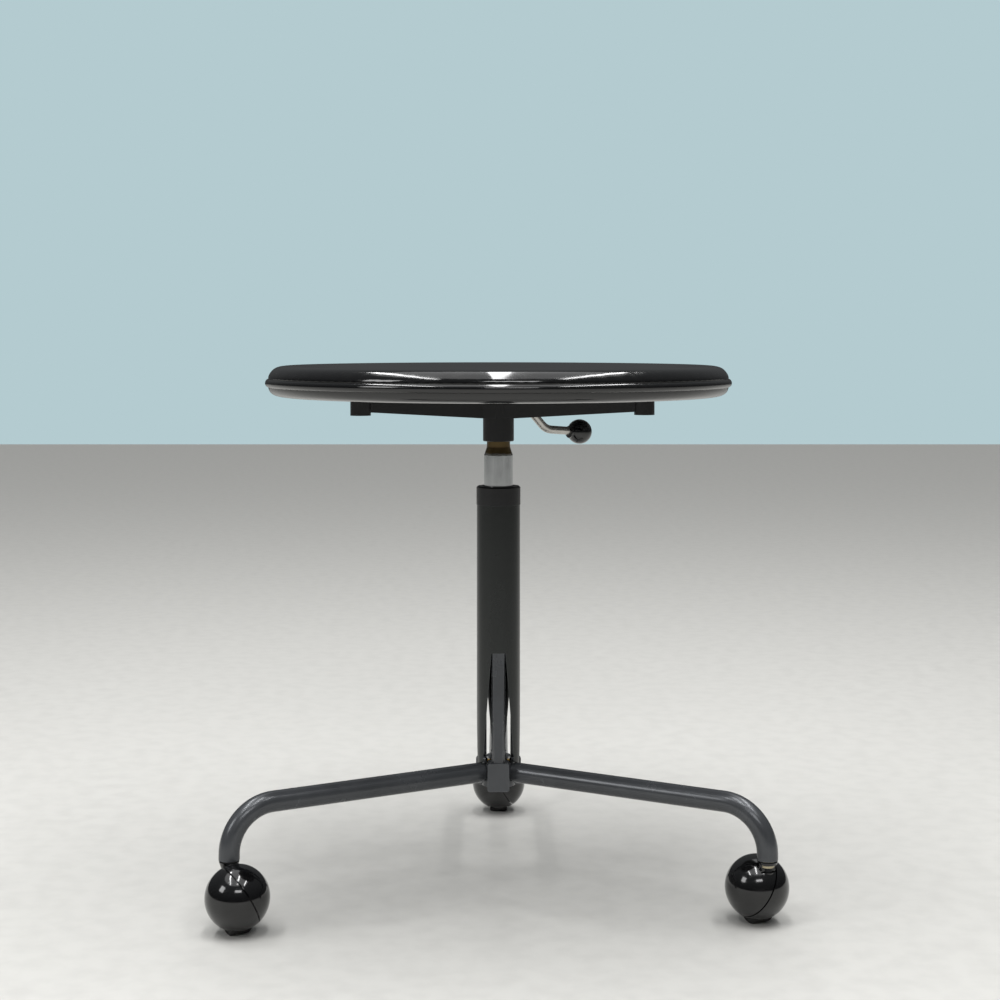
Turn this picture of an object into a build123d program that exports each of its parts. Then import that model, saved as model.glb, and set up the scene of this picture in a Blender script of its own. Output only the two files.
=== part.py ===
"""Height-adjustable swivel stool: dished round seat, gas lift, three tube legs, ball casters.

Millimetres, +Z up. The origin is on the floor, on the column's axis. The front is towards -Y.
"""
from build123d import *
import math
import os

# Seat
SEAT_RADIUS = 225.0
SEAT_RIM_TOP = 500.5
SEAT_RIM_CREST_RADIUS = 203.0
SEAT_DISH_DEPTH = 11.0
SEAT_BOTTOM = 471.0
BEAD_BOTTOM = 480.3
BEAD_TOP = 488.0
BEAD_STAND_OUT = 3.2
SHELL_WALL = 4.0
PAN_WALL = 3.0
BOARD_RADIUS = 204.0
BOARD_TOP = 484.5

# Spider under the seat
SEAT_TURN = 3.3
ARM_ANGLES = [SEAT_TURN - 30.0, SEAT_TURN + 90.0, SEAT_TURN + 210.0]
SCREW_CIRCLE_RADIUS = 152.5
SCREW_RADIUS = 2.95
SCREW_HEAD_RADIUS = 5.0
INSERT_RADIUS = 4.4
INSERT_HEIGHT = 9.0
BOSS_RADIUS = 9.5
BOSS_BOTTOM = 455.5
ARM_WIDTH = 12.0
ARM_ROOT_BOTTOM = 449.0
ARM_TIP_BOTTOM = 458.5
SOCKET_RADIUS = 15.0
SOCKET_BOTTOM = 427.0

# Gas lift
CYLINDER_RADIUS = 14.0
CYLINDER_BORE = 12.2
CYLINDER_BOTTOM = 225.0
CYLINDER_SHOULDER = 413.4
CYLINDER_CHAMBER_TOP = 398.0
NECK_RADIUS = 11.25
NECK_START = 421.0
NECK_TOP = 451.0
GLAND_HEIGHT = 12.0
ROD_RADIUS = 5.0
ROD_BOTTOM = 97.0
PISTON_BOTTOM = 338.5
PISTON_TOP = 352.0
PISTON_RADIUS = 12.1
VALVE_PIN_RADIUS = 3.0
VALVE_PIN_TOP = 457.2
VALVE_HEAD_BOTTOM = 392.0

# Release lever
LEVER_ANGLE = SEAT_TURN + 30.0
LEVER_RADIUS = 4.0
LEVER_PIVOT_RADIUS = 19.0
LEVER_PIVOT_HEIGHT = 461.2
LEVER_PIN_RADIUS = 2.5
LEVER_SLOT_WIDTH = 9.5
KNOB_RADIUS = 12.3
KNOB_CENTRE = (97.0, 433.4)

# Column
TUBE_RADIUS = 21.0
TUBE_BORE = 19.0
TUBE_TOP = 365.7
COLLAR_RADIUS = 21.35
COLLAR_TOP = 383.6
SLEEVE_BOTTOM = 238.0
SLEEVE_TOP = 349.0
SLOT_TOP = 224.0
SLOT_TOP_HALF_WIDTH = 6.8
SLOT_FOOT_HALF_WIDTH = 15.0
TONGUE_LEAN = 3.4

# Hub and legs
RUNNING_GAP = 0.06
HUB_BLOCK_WIDTH = 21.0
HUB_BLOCK_REACH = 26.5
SIDE_BLOCK_WIDTH = 13.5
SIDE_BLOCK_REACH = 21.3
HUB_BOTTOM = 92.5
HUB_TOP = 119.7
HUB_CORE_RADIUS = 16.0
BEARING_SEAT_HEIGHT = 115.0
BEARING_RADIUS = 12.0
LEG_HEIGHT = 107.5
LEG_RADIUS = 9.5
LEG_BORE = 8.0
LEG_START = 18.8
LEG_BEND_RADIUS = 42.0
LEG_END = 60.9
STEM_CIRCLE_RADIUS = 278.0
LEG_ANGLES = {"left": 210.0, "right": -30.0, "rear": 90.0}
BLOCK_ANGLES = [-90.0, 30.0, 150.0]

# Ball casters
BALL_RADIUS = 29.0
BALL_WALL = 3.2
BALL_CENTRE = 31.7
CASTER_TRAIL = 18.0
TRAIL_ANGLES = {"left": -58.0, "right": 113.0, "rear": -90.0}
SPLIT_TILT = 29.0
SPLIT_OFFSET = 2.5
SPLIT_GAP = 1.3
ROLLER_RADIUS = 14.0
ROLLER_HALF_WIDTH = 9.5
ROLLER_GAP = 0.7
TYRE_BORE = 11.5
AXLE_RADIUS = 2.5
AXLE_HALF_LENGTH = 19.0
AXLE_BOSS_RADIUS = 5.2
STEM_RADIUS = 4.0
STEM_BOTTOM = 40.0
SOCKET_WALL_RADIUS = 5.6
GRIP_HEIGHT = 69.4
BUSH_NOSE_RADIUS = 6.2
BUSH_BOTTOM = 54.3
CUP_RADIUS = 9.3
CUP_TOP = 60.4
POCKET_FLOOR = 50.0
POCKET_RADIUS = 8.5

os.makedirs("parts", exist_ok=True)


def save(builder, name):
    """Label a finished piece and write it as its own node."""
    builder.part.label = name
    export_step(builder.part, f"parts/{name}.step")


def direction(angle):
    """Horizontal unit vector at an angle from +X."""
    return Vector(math.cos(math.radians(angle)), math.sin(math.radians(angle)), 0)


def radial_plane(angle, origin=(0, 0, 0)):
    """Upright plane: local X points outwards at the angle, local Y points up."""
    outwards = direction(angle)
    return Plane(origin=origin, x_dir=outwards, z_dir=outwards.cross(Vector(0, 0, 1)))


def level_plane(angle, height):
    """Level plane at a height, with local X pointing outwards at the angle."""
    return Plane(origin=(0, 0, height), x_dir=direction(angle), z_dir=(0, 0, 1))


def turned(points, plane=Plane.XZ, axis=Axis.Z):
    """Revolve a closed polygon, given as (radius, height) points, about the axis."""
    with BuildPart() as piece:
        with BuildSketch(plane):
            with BuildLine():
                Polyline(*points, close=True)
            make_face()
        revolve(axis=axis)
    return piece


def ring(inner, outer, bottom, top):
    """Plain ring about the column's axis."""
    return turned([(inner, bottom), (outer, bottom), (outer, top), (inner, top)])


# ---------------------------------------------------------------- seat

def seat_top_shell():
    """Glossy moulded top: rolled rim and a shallow dish."""
    crest = (SEAT_RIM_CREST_RADIUS, SEAT_RIM_TOP)
    rim_edge = (SEAT_RADIUS - BEAD_STAND_OUT, BEAD_TOP + 0.05)
    dish = SEAT_RIM_TOP - SEAT_DISH_DEPTH
    with BuildPart() as shell:
        with BuildSketch(Plane.XZ):
            with BuildLine():
                outer = Spline(
                    rim_edge,
                    (rim_edge[0] - 1.6, BEAD_TOP + 5.6),
                    crest,
                    tangents=[(0.25, 1), (-1, 0)],
                )
                dish_line = Spline(
                    crest,
                    (SEAT_RIM_CREST_RADIUS - 38, SEAT_RIM_TOP - 4.2),
                    (70, dish + 0.9),
                    (0, dish),
                    tangents=[(-1, 0), (-1, 0)],
                )
                Line(dish_line @ 1, (0, dish - SHELL_WALL))
                inner = Spline(
                    (0, dish - SHELL_WALL),
                    (70, dish + 0.9 - SHELL_WALL),
                    (SEAT_RIM_CREST_RADIUS - 36, SEAT_RIM_TOP - 4.0 - SHELL_WALL),
                    (SEAT_RIM_CREST_RADIUS, SEAT_RIM_TOP - SHELL_WALL),
                    tangents=[(1, 0), (1, 0)],
                )
                Spline(
                    inner @ 1,
                    (rim_edge[0] - SHELL_WALL - 2.2, BEAD_TOP + 4.4),
                    (rim_edge[0] - SHELL_WALL, rim_edge[1]),
                    tangents=[(1, 0), (0.2, -1)],
                )
                Line((rim_edge[0] - SHELL_WALL, rim_edge[1]), outer @ 0)
            make_face()
        revolve(axis=Axis.Z)
    return shell


def seat_edge_bead():
    """Proud band with a half-round edge that joins the two seat shells."""
    half_height = (BEAD_TOP - BEAD_BOTTOM) / 2
    middle = BEAD_BOTTOM + half_height
    bulge = 2.6
    with BuildPart() as bead:
        with BuildSketch(Plane.XZ):
            with BuildLine():
                inner_edge = SEAT_RADIUS - 12
                shoulder = SEAT_RADIUS - bulge
                Line((inner_edge, BEAD_BOTTOM), (shoulder, BEAD_BOTTOM))
                ThreePointArc((shoulder, BEAD_BOTTOM), (SEAT_RADIUS, middle), (shoulder, BEAD_TOP))
                Line((shoulder, BEAD_TOP), (inner_edge, BEAD_TOP))
                Line((inner_edge, BEAD_TOP), (inner_edge, BEAD_BOTTOM))
            make_face()
        revolve(axis=Axis.Z)
    return bead


def seat_bottom_shell():
    """Rounded lower pan with a hole above each spider boss."""
    edge = SEAT_RADIUS - BEAD_STAND_OUT
    edge_top = BEAD_BOTTOM - 0.05
    flat_radius = edge - 19
    with BuildPart() as pan:
        with BuildSketch(Plane.XZ):
            with BuildLine():
                Line((0, SEAT_BOTTOM), (flat_radius, SEAT_BOTTOM))
                Spline((flat_radius, SEAT_BOTTOM), (edge, edge_top), tangents=[(1, 0), (0.1, 1)])
                Line((edge, edge_top), (edge - PAN_WALL, edge_top))
                Spline(
                    (edge - PAN_WALL, edge_top),
                    (flat_radius, SEAT_BOTTOM + PAN_WALL),
                    tangents=[(-0.1, -1), (-1, 0)],
                )
                Line((flat_radius, SEAT_BOTTOM + PAN_WALL), (0, SEAT_BOTTOM + PAN_WALL))
                Line((0, SEAT_BOTTOM + PAN_WALL), (0, SEAT_BOTTOM))
            make_face()
        revolve(axis=Axis.Z)
        with BuildSketch(Plane.XY.offset(SEAT_BOTTOM)):
            with PolarLocations(SCREW_CIRCLE_RADIUS, 3, start_angle=ARM_ANGLES[0]):
                Circle(SCREW_RADIUS + 0.4)
        extrude(amount=PAN_WALL, mode=Mode.SUBTRACT)
    return pan


def seat_board():
    """Round plywood board that carries the threaded inserts."""
    bottom = SEAT_BOTTOM + PAN_WALL
    with BuildPart() as board:
        with BuildSketch(Plane.XY.offset(bottom)):
            Circle(BOARD_RADIUS)
            with PolarLocations(SCREW_CIRCLE_RADIUS, 3, start_angle=ARM_ANGLES[0]):
                Circle(INSERT_RADIUS + 0.05, mode=Mode.SUBTRACT)
        extrude(amount=BOARD_TOP - bottom)
    return board


def seat_inserts():
    """Three flanged threaded inserts in the board, as separate solids."""
    bottom = SEAT_BOTTOM + PAN_WALL
    with BuildPart() as inserts:
        with BuildSketch(Plane.XY.offset(bottom)):
            with PolarLocations(SCREW_CIRCLE_RADIUS, 3, start_angle=ARM_ANGLES[0]):
                Circle(INSERT_RADIUS)
                Circle(SCREW_RADIUS + 0.03, mode=Mode.SUBTRACT)
        extrude(amount=INSERT_HEIGHT)
    return inserts


# ---------------------------------------------------------------- spider and its screws

def spider_frame():
    """Cast spider: tapered socket for the gas lift, three arms with bosses, and the lever's lugs."""
    hub_cavity_top = SEAT_BOTTOM - 4.0
    with BuildPart() as spider:
        with BuildSketch(Plane.XY.offset(SOCKET_BOTTOM)):
            Circle(SOCKET_RADIUS)
        extrude(amount=SEAT_BOTTOM - SOCKET_BOTTOM)
        for angle in ARM_ANGLES:
            with BuildSketch(radial_plane(angle)):
                with BuildLine():
                    Polyline(
                        (SOCKET_RADIUS - 4, ARM_ROOT_BOTTOM),
                        (SCREW_CIRCLE_RADIUS - 4, ARM_TIP_BOTTOM),
                        (SCREW_CIRCLE_RADIUS - 4, SEAT_BOTTOM),
                        (SOCKET_RADIUS - 4, SEAT_BOTTOM),
                        close=True,
                    )
                make_face()
            extrude(amount=ARM_WIDTH / 2, both=True)
            with BuildSketch(level_plane(angle, ARM_ROOT_BOTTOM + 1)):
                with BuildLine():
                    Polyline((10, -11), (22, -ARM_WIDTH / 2), (22, ARM_WIDTH / 2), (10, 11), close=True)
                make_face()
            extrude(amount=SEAT_BOTTOM - ARM_ROOT_BOTTOM - 1)
        with BuildSketch(Plane.XY.offset(BOSS_BOTTOM)):
            with PolarLocations(SCREW_CIRCLE_RADIUS, 3, start_angle=ARM_ANGLES[0]):
                Circle(BOSS_RADIUS)
        extrude(amount=SEAT_BOTTOM - BOSS_BOTTOM)
        with BuildSketch(level_plane(LEVER_ANGLE, 453.0)):
            with Locations((LEVER_PIVOT_RADIUS - 0.5, 0)):
                Rectangle(14, LEVER_SLOT_WIDTH + 7)
        extrude(amount=SEAT_BOTTOM - 453.0)
        bottom_rim = spider.faces().sort_by(Axis.Z)[0].outer_wire().edges()
        chamfer(bottom_rim, length=0.6)
        with BuildSketch(Plane.XY.offset(SOCKET_BOTTOM)):
            Circle(NECK_RADIUS + 0.05)
        extrude(amount=NECK_TOP + 0.5 - SOCKET_BOTTOM, mode=Mode.SUBTRACT)
        with BuildSketch(Plane.XY.offset(NECK_TOP)):
            Circle(10.0)
        extrude(amount=hub_cavity_top - NECK_TOP, mode=Mode.SUBTRACT)
        with BuildSketch(level_plane(LEVER_ANGLE, NECK_TOP + 1)):
            with Locations((15, 0)):
                Rectangle(30, LEVER_SLOT_WIDTH)
        extrude(amount=hub_cavity_top - NECK_TOP - 1, mode=Mode.SUBTRACT)
        with BuildSketch(radial_plane(LEVER_ANGLE)):
            with Locations((LEVER_PIVOT_RADIUS, LEVER_PIVOT_HEIGHT)):
                Circle(LEVER_PIN_RADIUS + RUNNING_GAP)
        extrude(amount=LEVER_SLOT_WIDTH, both=True, mode=Mode.SUBTRACT)
        with BuildSketch(Plane.XY.offset(BOSS_BOTTOM)):
            with PolarLocations(SCREW_CIRCLE_RADIUS, 3, start_angle=ARM_ANGLES[0]):
                Circle(SCREW_RADIUS + 0.3)
        extrude(amount=SEAT_BOTTOM - BOSS_BOTTOM, mode=Mode.SUBTRACT)
        with BuildSketch(Plane.XY.offset(BOSS_BOTTOM)):
            with PolarLocations(SCREW_CIRCLE_RADIUS, 3, start_angle=ARM_ANGLES[0]):
                Circle(SCREW_HEAD_RADIUS + 0.7)
        extrude(amount=6.0, mode=Mode.SUBTRACT)
    return spider


def spider_screws():
    """Three socket-head screws, driven up through the bosses into the inserts."""
    head_bottom = BOSS_BOTTOM + 1.0
    head_top = BOSS_BOTTOM + 6.0
    with BuildPart() as screws:
        with BuildSketch(Plane.XY.offset(head_bottom)):
            with PolarLocations(SCREW_CIRCLE_RADIUS, 3, start_angle=ARM_ANGLES[0]):
                Circle(SCREW_HEAD_RADIUS)
        extrude(amount=head_top - head_bottom)
        with BuildSketch(Plane.XY.offset(head_top)):
            with PolarLocations(SCREW_CIRCLE_RADIUS, 3, start_angle=ARM_ANGLES[0]):
                Circle(SCREW_RADIUS)
        extrude(amount=SEAT_BOTTOM + PAN_WALL + INSERT_HEIGHT - 1 - head_top)
        with BuildSketch(Plane.XY.offset(head_bottom)):
            with PolarLocations(SCREW_CIRCLE_RADIUS, 3, start_angle=ARM_ANGLES[0]):
                RegularPolygon(radius=2.9, side_count=6)
        extrude(amount=3.0, mode=Mode.SUBTRACT)
    return screws


# ---------------------------------------------------------------- release lever

def lever_rod():
    """Bent rod: flat pierced inner end over the valve pin, and a reach out to the knob."""
    plane = radial_plane(LEVER_ANGLE)
    blade_bottom = VALVE_PIN_TOP + 0.3
    blade_height = 6.8
    blade_start = -5.0
    rod_start = 22.0
    with BuildPart() as rod:
        with BuildLine(plane):
            path = FilletPolyline(
                (rod_start, LEVER_PIVOT_HEIGHT),
                (34.0, 459.0),
                (56.0, 436.9),
                (KNOB_CENTRE[0] - 4, KNOB_CENTRE[1] + 0.35),
                radius=[9.0, 17.0],
            )
        with BuildSketch(Plane(origin=path @ 0, z_dir=path % 0)):
            Circle(LEVER_RADIUS)
        sweep(path=path)
        with BuildSketch(plane):
            with Locations(((blade_start + rod_start + 2) / 2, blade_bottom + blade_height / 2)):
                Rectangle(rod_start + 2 - blade_start, blade_height)
        extrude(amount=LEVER_RADIUS - 0.7, both=True)
        with BuildSketch(plane):
            with Locations((LEVER_PIVOT_RADIUS, LEVER_PIVOT_HEIGHT)):
                Circle(LEVER_PIN_RADIUS + 0.02)
        extrude(amount=LEVER_SLOT_WIDTH, both=True, mode=Mode.SUBTRACT)
    return rod


def lever_knob():
    """Ball knob, moulded over the rod's end."""
    plane = radial_plane(LEVER_ANGLE)
    centre = plane.from_local_coords(Vector(KNOB_CENTRE[0], KNOB_CENTRE[1], 0))
    neck_plane = Plane(origin=centre, z_dir=direction(LEVER_ANGLE))
    with BuildPart() as knob:
        with Locations(centre):
            Sphere(KNOB_RADIUS)
        with BuildSketch(neck_plane.offset(-KNOB_RADIUS - 1.0)):
            Circle(6.0)
        extrude(amount=6.0)
        with BuildLine(plane):
            path = Line(
                (56.0, 436.9),
                (KNOB_CENTRE[0] - 3.9, KNOB_CENTRE[1] + 0.35),
            )
        with BuildSketch(Plane(origin=path @ 0, z_dir=path % 0)):
            Circle(LEVER_RADIUS + 0.1)
        sweep(path=path, mode=Mode.SUBTRACT)
    return knob


def lever_pivot_pin():
    """Cross pin through the spider's lugs and the lever."""
    with BuildPart() as pin:
        with BuildSketch(radial_plane(LEVER_ANGLE)):
            with Locations((LEVER_PIVOT_RADIUS, LEVER_PIVOT_HEIGHT)):
                Circle(LEVER_PIN_RADIUS)
        extrude(amount=LEVER_SLOT_WIDTH / 2 + 3.4, both=True)
    return pin


# ---------------------------------------------------------------- gas lift

def gas_cylinder():
    """Chromed pressure tube with a tapered shoulder and neck that seats in the spider."""
    bore = VALVE_PIN_RADIUS + RUNNING_GAP
    return turned([
        (CYLINDER_BORE, CYLINDER_BOTTOM),
        (CYLINDER_RADIUS - 0.8, CYLINDER_BOTTOM),
        (CYLINDER_RADIUS, CYLINDER_BOTTOM + 1.5),
        (CYLINDER_RADIUS, CYLINDER_SHOULDER),
        (NECK_RADIUS + 0.1, NECK_START),
        (NECK_RADIUS, NECK_START + 1),
        (NECK_RADIUS, NECK_TOP - 1),
        (NECK_RADIUS - 1, NECK_TOP),
        (bore, NECK_TOP),
        (bore, CYLINDER_CHAMBER_TOP),
        (CYLINDER_BORE, CYLINDER_CHAMBER_TOP),
    ])


def valve_pin():
    """Release pin with a domed top and a valve head inside the chamber."""
    dome = VALVE_PIN_RADIUS
    with BuildPart() as pin:
        with BuildSketch(Plane.XZ):
            with BuildLine():
                Polyline(
                    (0, VALVE_PIN_TOP),
                    (0, VALVE_HEAD_BOTTOM),
                    (4.5, VALVE_HEAD_BOTTOM),
                    (4.5, VALVE_HEAD_BOTTOM + 2.5),
                    (dome, VALVE_HEAD_BOTTOM + 3.5),
                    (dome, VALVE_PIN_TOP - dome),
                )
                RadiusArc((dome, VALVE_PIN_TOP - dome), (0, VALVE_PIN_TOP), -dome)
            make_face()
        revolve(axis=Axis.Z)
    return pin


def piston_rod():
    """Slim rod with a shoulder on the thrust bearing and a clip groove at its foot."""
    shoulder_bottom = BEARING_SEAT_HEIGHT + 7.1
    groove = ROD_BOTTOM + 3.0
    return turned([
        (0, ROD_BOTTOM),
        (ROD_RADIUS - 1, ROD_BOTTOM),
        (ROD_RADIUS, ROD_BOTTOM + 1),
        (ROD_RADIUS, groove),
        (ROD_RADIUS - 1.2, groove),
        (ROD_RADIUS - 1.2, groove + 1.6),
        (ROD_RADIUS, groove + 1.6),
        (ROD_RADIUS, shoulder_bottom),
        (ROD_RADIUS + 2.5, shoulder_bottom),
        (ROD_RADIUS + 2.5, shoulder_bottom + 5),
        (ROD_RADIUS, shoulder_bottom + 7),
        (ROD_RADIUS, PISTON_BOTTOM),
        (3.5, PISTON_BOTTOM),
        (3.5, PISTON_TOP + 5),
        (0, PISTON_TOP + 5),
    ])


def piston_nut():
    """Hexagonal nut that holds the piston on its rod."""
    with BuildPart() as nut:
        with BuildSketch(Plane.XY.offset(PISTON_TOP + 0.02)):
            RegularPolygon(radius=7.0, side_count=6)
            Circle(3.53, mode=Mode.SUBTRACT)
        extrude(amount=4.5)
    return nut


def rod_clip():
    """Spring clip in the rod's groove, open on one side."""
    with BuildPart() as clip:
        with BuildSketch(Plane.XY.offset(ROD_BOTTOM + 3.15)):
            Circle(8.5)
            Circle(ROD_RADIUS - 1.15, mode=Mode.SUBTRACT)
            with Locations((0, -6)):
                Rectangle(6.0, 12.0, mode=Mode.SUBTRACT)
        extrude(amount=1.3)
    return clip


# ---------------------------------------------------------------- column

def column_tube():
    """Column tube: its foot is slit into three posts."""
    tube_foot = 112.0
    with BuildPart() as tube:
        with BuildSketch(Plane.XY.offset(tube_foot)):
            Circle(TUBE_RADIUS)
            Circle(TUBE_BORE, mode=Mode.SUBTRACT)
        extrude(amount=TUBE_TOP - tube_foot)
        for angle in BLOCK_ANGLES:
            slot_plane = Plane(origin=(0, 0, 0), x_dir=direction(angle + 90), z_dir=direction(angle))
            slot_slope = (SLOT_FOOT_HALF_WIDTH - SLOT_TOP_HALF_WIDTH) / (SLOT_TOP - HUB_TOP)
            foot_half_width = SLOT_FOOT_HALF_WIDTH + slot_slope * (HUB_TOP - tube_foot)
            height_sign = slot_plane.y_dir.Z
            with BuildSketch(slot_plane):
                with BuildLine():
                    Polyline(
                        (-SLOT_TOP_HALF_WIDTH, height_sign * SLOT_TOP),
                        (SLOT_TOP_HALF_WIDTH, height_sign * SLOT_TOP),
                        (foot_half_width, height_sign * tube_foot),
                        (-foot_half_width, height_sign * tube_foot),
                        close=True,
                    )
                make_face()
            extrude(amount=TUBE_RADIUS + 2, mode=Mode.SUBTRACT)
        for angle in LEG_ANGLES.values():
            with BuildSketch(Plane(origin=(0, 0, LEG_HEIGHT), z_dir=direction(angle))):
                Circle(LEG_RADIUS + 0.05)
            extrude(amount=40, mode=Mode.SUBTRACT)
    return tube


def column_tongues():
    """Three tapered tongues welded into the slits; the front one leans out onto its hub block."""
    with BuildPart() as tongues:
        for angle in BLOCK_ANGLES:
            lean = TONGUE_LEAN if angle == BLOCK_ANGLES[0] else 0.0
            with BuildSketch(level_plane(angle, SLOT_TOP - 0.05)):
                with BuildLine():
                    Polyline((18.6, -6.6), (20.6, -5.5), (20.6, 5.5), (18.6, 6.6), close=True)
                make_face()
            with BuildSketch(level_plane(angle, SLOT_TOP - 8)):
                with BuildLine():
                    Polyline((17.4, -6.7), (20.8, -5.4), (20.8, 5.4), (17.4, 6.7), close=True)
                make_face()
            loft(ruled=True)
            with BuildSketch(level_plane(angle, SLOT_TOP - 8)):
                with BuildLine():
                    Polyline((17.4, -6.7), (20.8, -5.4), (20.8, 5.4), (17.4, 6.7), close=True)
                make_face()
            with BuildSketch(level_plane(angle, HUB_TOP)):
                with BuildLine():
                    Polyline(
                        (17.0 + lean, -6.3),
                        (20.8 + lean, -4.1),
                        (20.8 + lean, 4.1),
                        (17.0 + lean, 6.3),
                        close=True,
                    )
                make_face()
            loft(ruled=True)
    return tongues


def column_collar():
    """Moulded collar on the tube's mouth, with a plug that reaches inside."""
    bore = CYLINDER_RADIUS + 0.4
    return turned([
        (bore, SLEEVE_TOP + 1),
        (TUBE_BORE - 0.06, SLEEVE_TOP + 1),
        (TUBE_BORE - 0.06, TUBE_TOP + 0.02),
        (COLLAR_RADIUS, TUBE_TOP + 0.02),
        (COLLAR_RADIUS, COLLAR_TOP - 1.4),
        (COLLAR_RADIUS - 1.4, COLLAR_TOP),
        (bore + 1.2, COLLAR_TOP),
        (bore, COLLAR_TOP - 1.2),
    ])


# ---------------------------------------------------------------- hub and legs

def base_hub():
    """Cast hub: a wide front block, two narrow ones, and three spigots inside the legs."""
    block_start = 6.0
    with BuildPart() as hub:
        with BuildSketch(Plane.XY.offset(HUB_BOTTOM + 1.5)):
            Circle(HUB_CORE_RADIUS)
        extrude(amount=BEARING_SEAT_HEIGHT + 1.5 - HUB_BOTTOM - 1.5)
        for angle in BLOCK_ANGLES:
            block_face = Plane(
                origin=direction(angle) * block_start + Vector(0, 0, (HUB_TOP + HUB_BOTTOM) / 2),
                x_dir=direction(angle + 90),
                z_dir=direction(angle),
            )
            is_front = angle == BLOCK_ANGLES[0]
            width = HUB_BLOCK_WIDTH if is_front else SIDE_BLOCK_WIDTH
            reach = HUB_BLOCK_REACH if is_front else SIDE_BLOCK_REACH
            with BuildSketch(block_face):
                RectangleRounded(width, HUB_TOP - HUB_BOTTOM, 2.6)
            extrude(amount=reach - block_start)
        rim_edges = hub.edges().filter_by(
            lambda edge: math.hypot(edge.center().X, edge.center().Y) > HUB_BLOCK_REACH - 0.6
        )
        chamfer(rim_edges, length=0.5)
        for angle in LEG_ANGLES.values():
            with BuildSketch(Plane(origin=(0, 0, LEG_HEIGHT), z_dir=direction(angle)).offset(8)):
                Circle(LEG_RADIUS - 1.0)
            extrude(amount=LEG_START - 0.05 - 8)
            with BuildSketch(Plane(origin=(0, 0, LEG_HEIGHT), z_dir=direction(angle)).offset(8)):
                Circle(LEG_BORE - 0.05)
            extrude(amount=LEG_START + 24 - 8)
        with BuildSketch(Plane.XY.offset(BEARING_SEAT_HEIGHT)):
            Circle(BEARING_RADIUS + 0.5)
        extrude(amount=HUB_TOP - BEARING_SEAT_HEIGHT + 1, mode=Mode.SUBTRACT)
        with BuildSketch(Plane.XY.offset(HUB_BOTTOM - 1)):
            Circle(10.5)
        extrude(amount=11.0, mode=Mode.SUBTRACT)
        with BuildSketch(Plane.XY.offset(HUB_BOTTOM)):
            Circle(ROD_RADIUS + RUNNING_GAP)
        extrude(amount=HUB_TOP - HUB_BOTTOM, mode=Mode.SUBTRACT)
    return hub


def leg(angle):
    """Bent tube: level out from the hub, one round bend, and a short drop to the caster."""
    plane = radial_plane(angle)
    bend_start = STEM_CIRCLE_RADIUS - LEG_BEND_RADIUS
    bend_end = LEG_HEIGHT - LEG_BEND_RADIUS
    with BuildPart() as tube:
        with BuildLine(plane) as path:
            Line((LEG_START, LEG_HEIGHT), (bend_start, LEG_HEIGHT))
            RadiusArc((bend_start, LEG_HEIGHT), (STEM_CIRCLE_RADIUS, bend_end), LEG_BEND_RADIUS)
            Line((STEM_CIRCLE_RADIUS, bend_end), (STEM_CIRCLE_RADIUS, LEG_END))
        with BuildSketch(Plane(origin=path.line @ 0, z_dir=path.line % 0)):
            Circle(LEG_RADIUS)
            Circle(LEG_BORE, mode=Mode.SUBTRACT)
        sweep(path=path.line)
    return tube


# ---------------------------------------------------------------- ball casters

class CasterFrame:
    """Places of one caster: stem, ball and roller centres, and the planes and axes on them."""

    def __init__(self, side):
        up = Vector(0, 0, 1)
        tilt = math.radians(SPLIT_TILT)
        self.trail = direction(TRAIL_ANGLES[side])
        self.across = direction(TRAIL_ANGLES[side] + 90)
        self.stem = direction(LEG_ANGLES[side]) * STEM_CIRCLE_RADIUS
        self.centre = self.stem + self.trail * CASTER_TRAIL + up * BALL_CENTRE
        self.roller = self.stem + self.trail * CASTER_TRAIL + up * ROLLER_RADIUS
        self.pole = self.across * math.cos(tilt) + up * math.sin(tilt)
        self.pole_axis = Axis(self.centre, self.pole)
        self.roller_axis = Axis(self.roller, self.across)
        self.stem_axis = Axis(self.stem, up)
        self.split = Plane(self.centre, x_dir=self.trail, z_dir=self.pole)
        self.ball_profile = Plane(self.centre, x_dir=self.trail, z_dir=self.trail.cross(self.pole))
        self.roller_profile = Plane(self.roller, x_dir=self.trail, z_dir=up)
        self.roller_side = Plane(self.roller, x_dir=self.trail, z_dir=self.across)
        self.stem_profile = Plane(self.stem, x_dir=self.trail, z_dir=self.trail.cross(up))
        self.stem_level = Plane(self.stem, x_dir=self.trail, z_dir=up)


def ball_shell(frame, face, side):
    """Hollow part of the ball beyond the split: side is +1 for the hood and -1 for the cover."""
    inner_radius = BALL_RADIUS - BALL_WALL
    outer_turn = math.asin(face / BALL_RADIUS) / 2 + side * math.pi / 4
    inner_turn = math.asin(face / inner_radius) / 2 + side * math.pi / 4
    outer_rim = (math.sqrt(BALL_RADIUS ** 2 - face ** 2), face)
    inner_rim = (math.sqrt(inner_radius ** 2 - face ** 2), face)
    outer_middle = (BALL_RADIUS * math.cos(outer_turn), BALL_RADIUS * math.sin(outer_turn))
    inner_middle = (inner_radius * math.cos(inner_turn), inner_radius * math.sin(inner_turn))
    with BuildPart() as shell:
        with BuildSketch(frame.ball_profile):
            with BuildLine():
                ThreePointArc(outer_rim, outer_middle, (0, side * BALL_RADIUS))
                Line((0, side * BALL_RADIUS), (0, side * inner_radius))
                ThreePointArc((0, side * inner_radius), inner_middle, inner_rim)
                Line(inner_rim, outer_rim)
            make_face()
        revolve(axis=frame.pole_axis)
    return shell.part


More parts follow.
